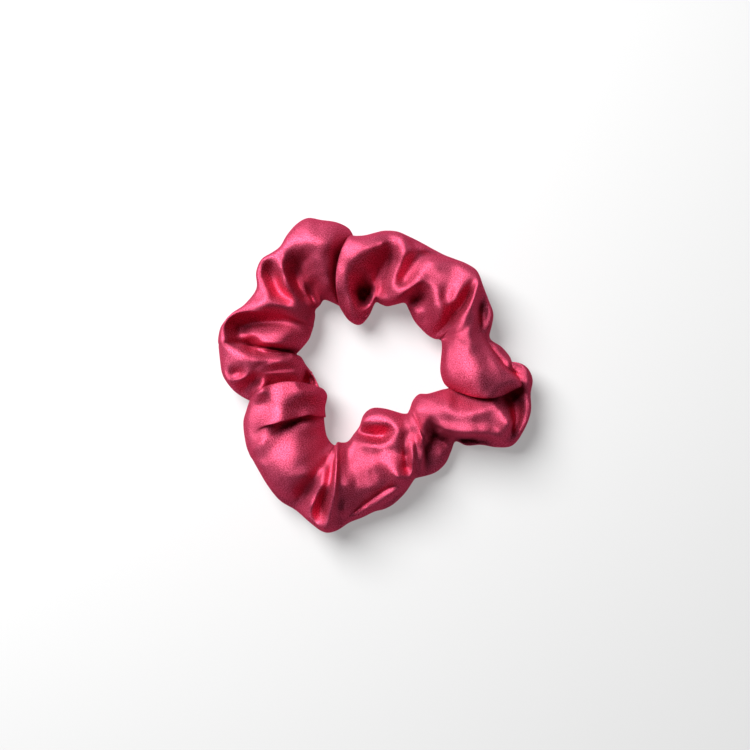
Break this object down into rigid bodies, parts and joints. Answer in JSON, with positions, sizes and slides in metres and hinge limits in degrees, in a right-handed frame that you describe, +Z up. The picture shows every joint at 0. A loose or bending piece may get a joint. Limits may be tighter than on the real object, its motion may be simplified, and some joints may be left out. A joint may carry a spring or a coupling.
{
  "type": "scrunchie",
  "caption": "Gathered satin scrunchie: a wide fabric sleeve ruched on a hidden loop of flat elastic, with a stretch joint.",
  "frame": {"origin": "middle of the underside's outline, on the table that the scrunchie lies on", "axes": "+Z up out of the table, through the hair opening; +X the way the loop is pulled open; +Y across it"},
  "size_m": [0.1064, 0.105, 0.0287],
  "materials": {
    "satin": "smooth woven satin with a soft pink sheen",
    "elastic": "flat braided elastic, matt",
    "thread": "polyester sewing thread"
  },
  "bodies": {
    "held_side": {"sleeve_held_side": "satin", "elastic_band": "elastic", "elastic_join_thread": "thread", "long_seam_held_side": "thread", "end_seam_thread": "thread", "closing_topstitch": "thread"},
    "pulled_side": {"sleeve_pulled_side": "satin", "long_seam_pulled_side": "thread"}
  },
  "joints": [
    {"name": "stretch", "type": "slide", "parent": "held_side", "child": "pulled_side", "axis": [1, 0, 0], "range_m": [0, 0.08], "stiffness_N_per_m": 50, "deforming": ["elastic_band"]}
  ]
}
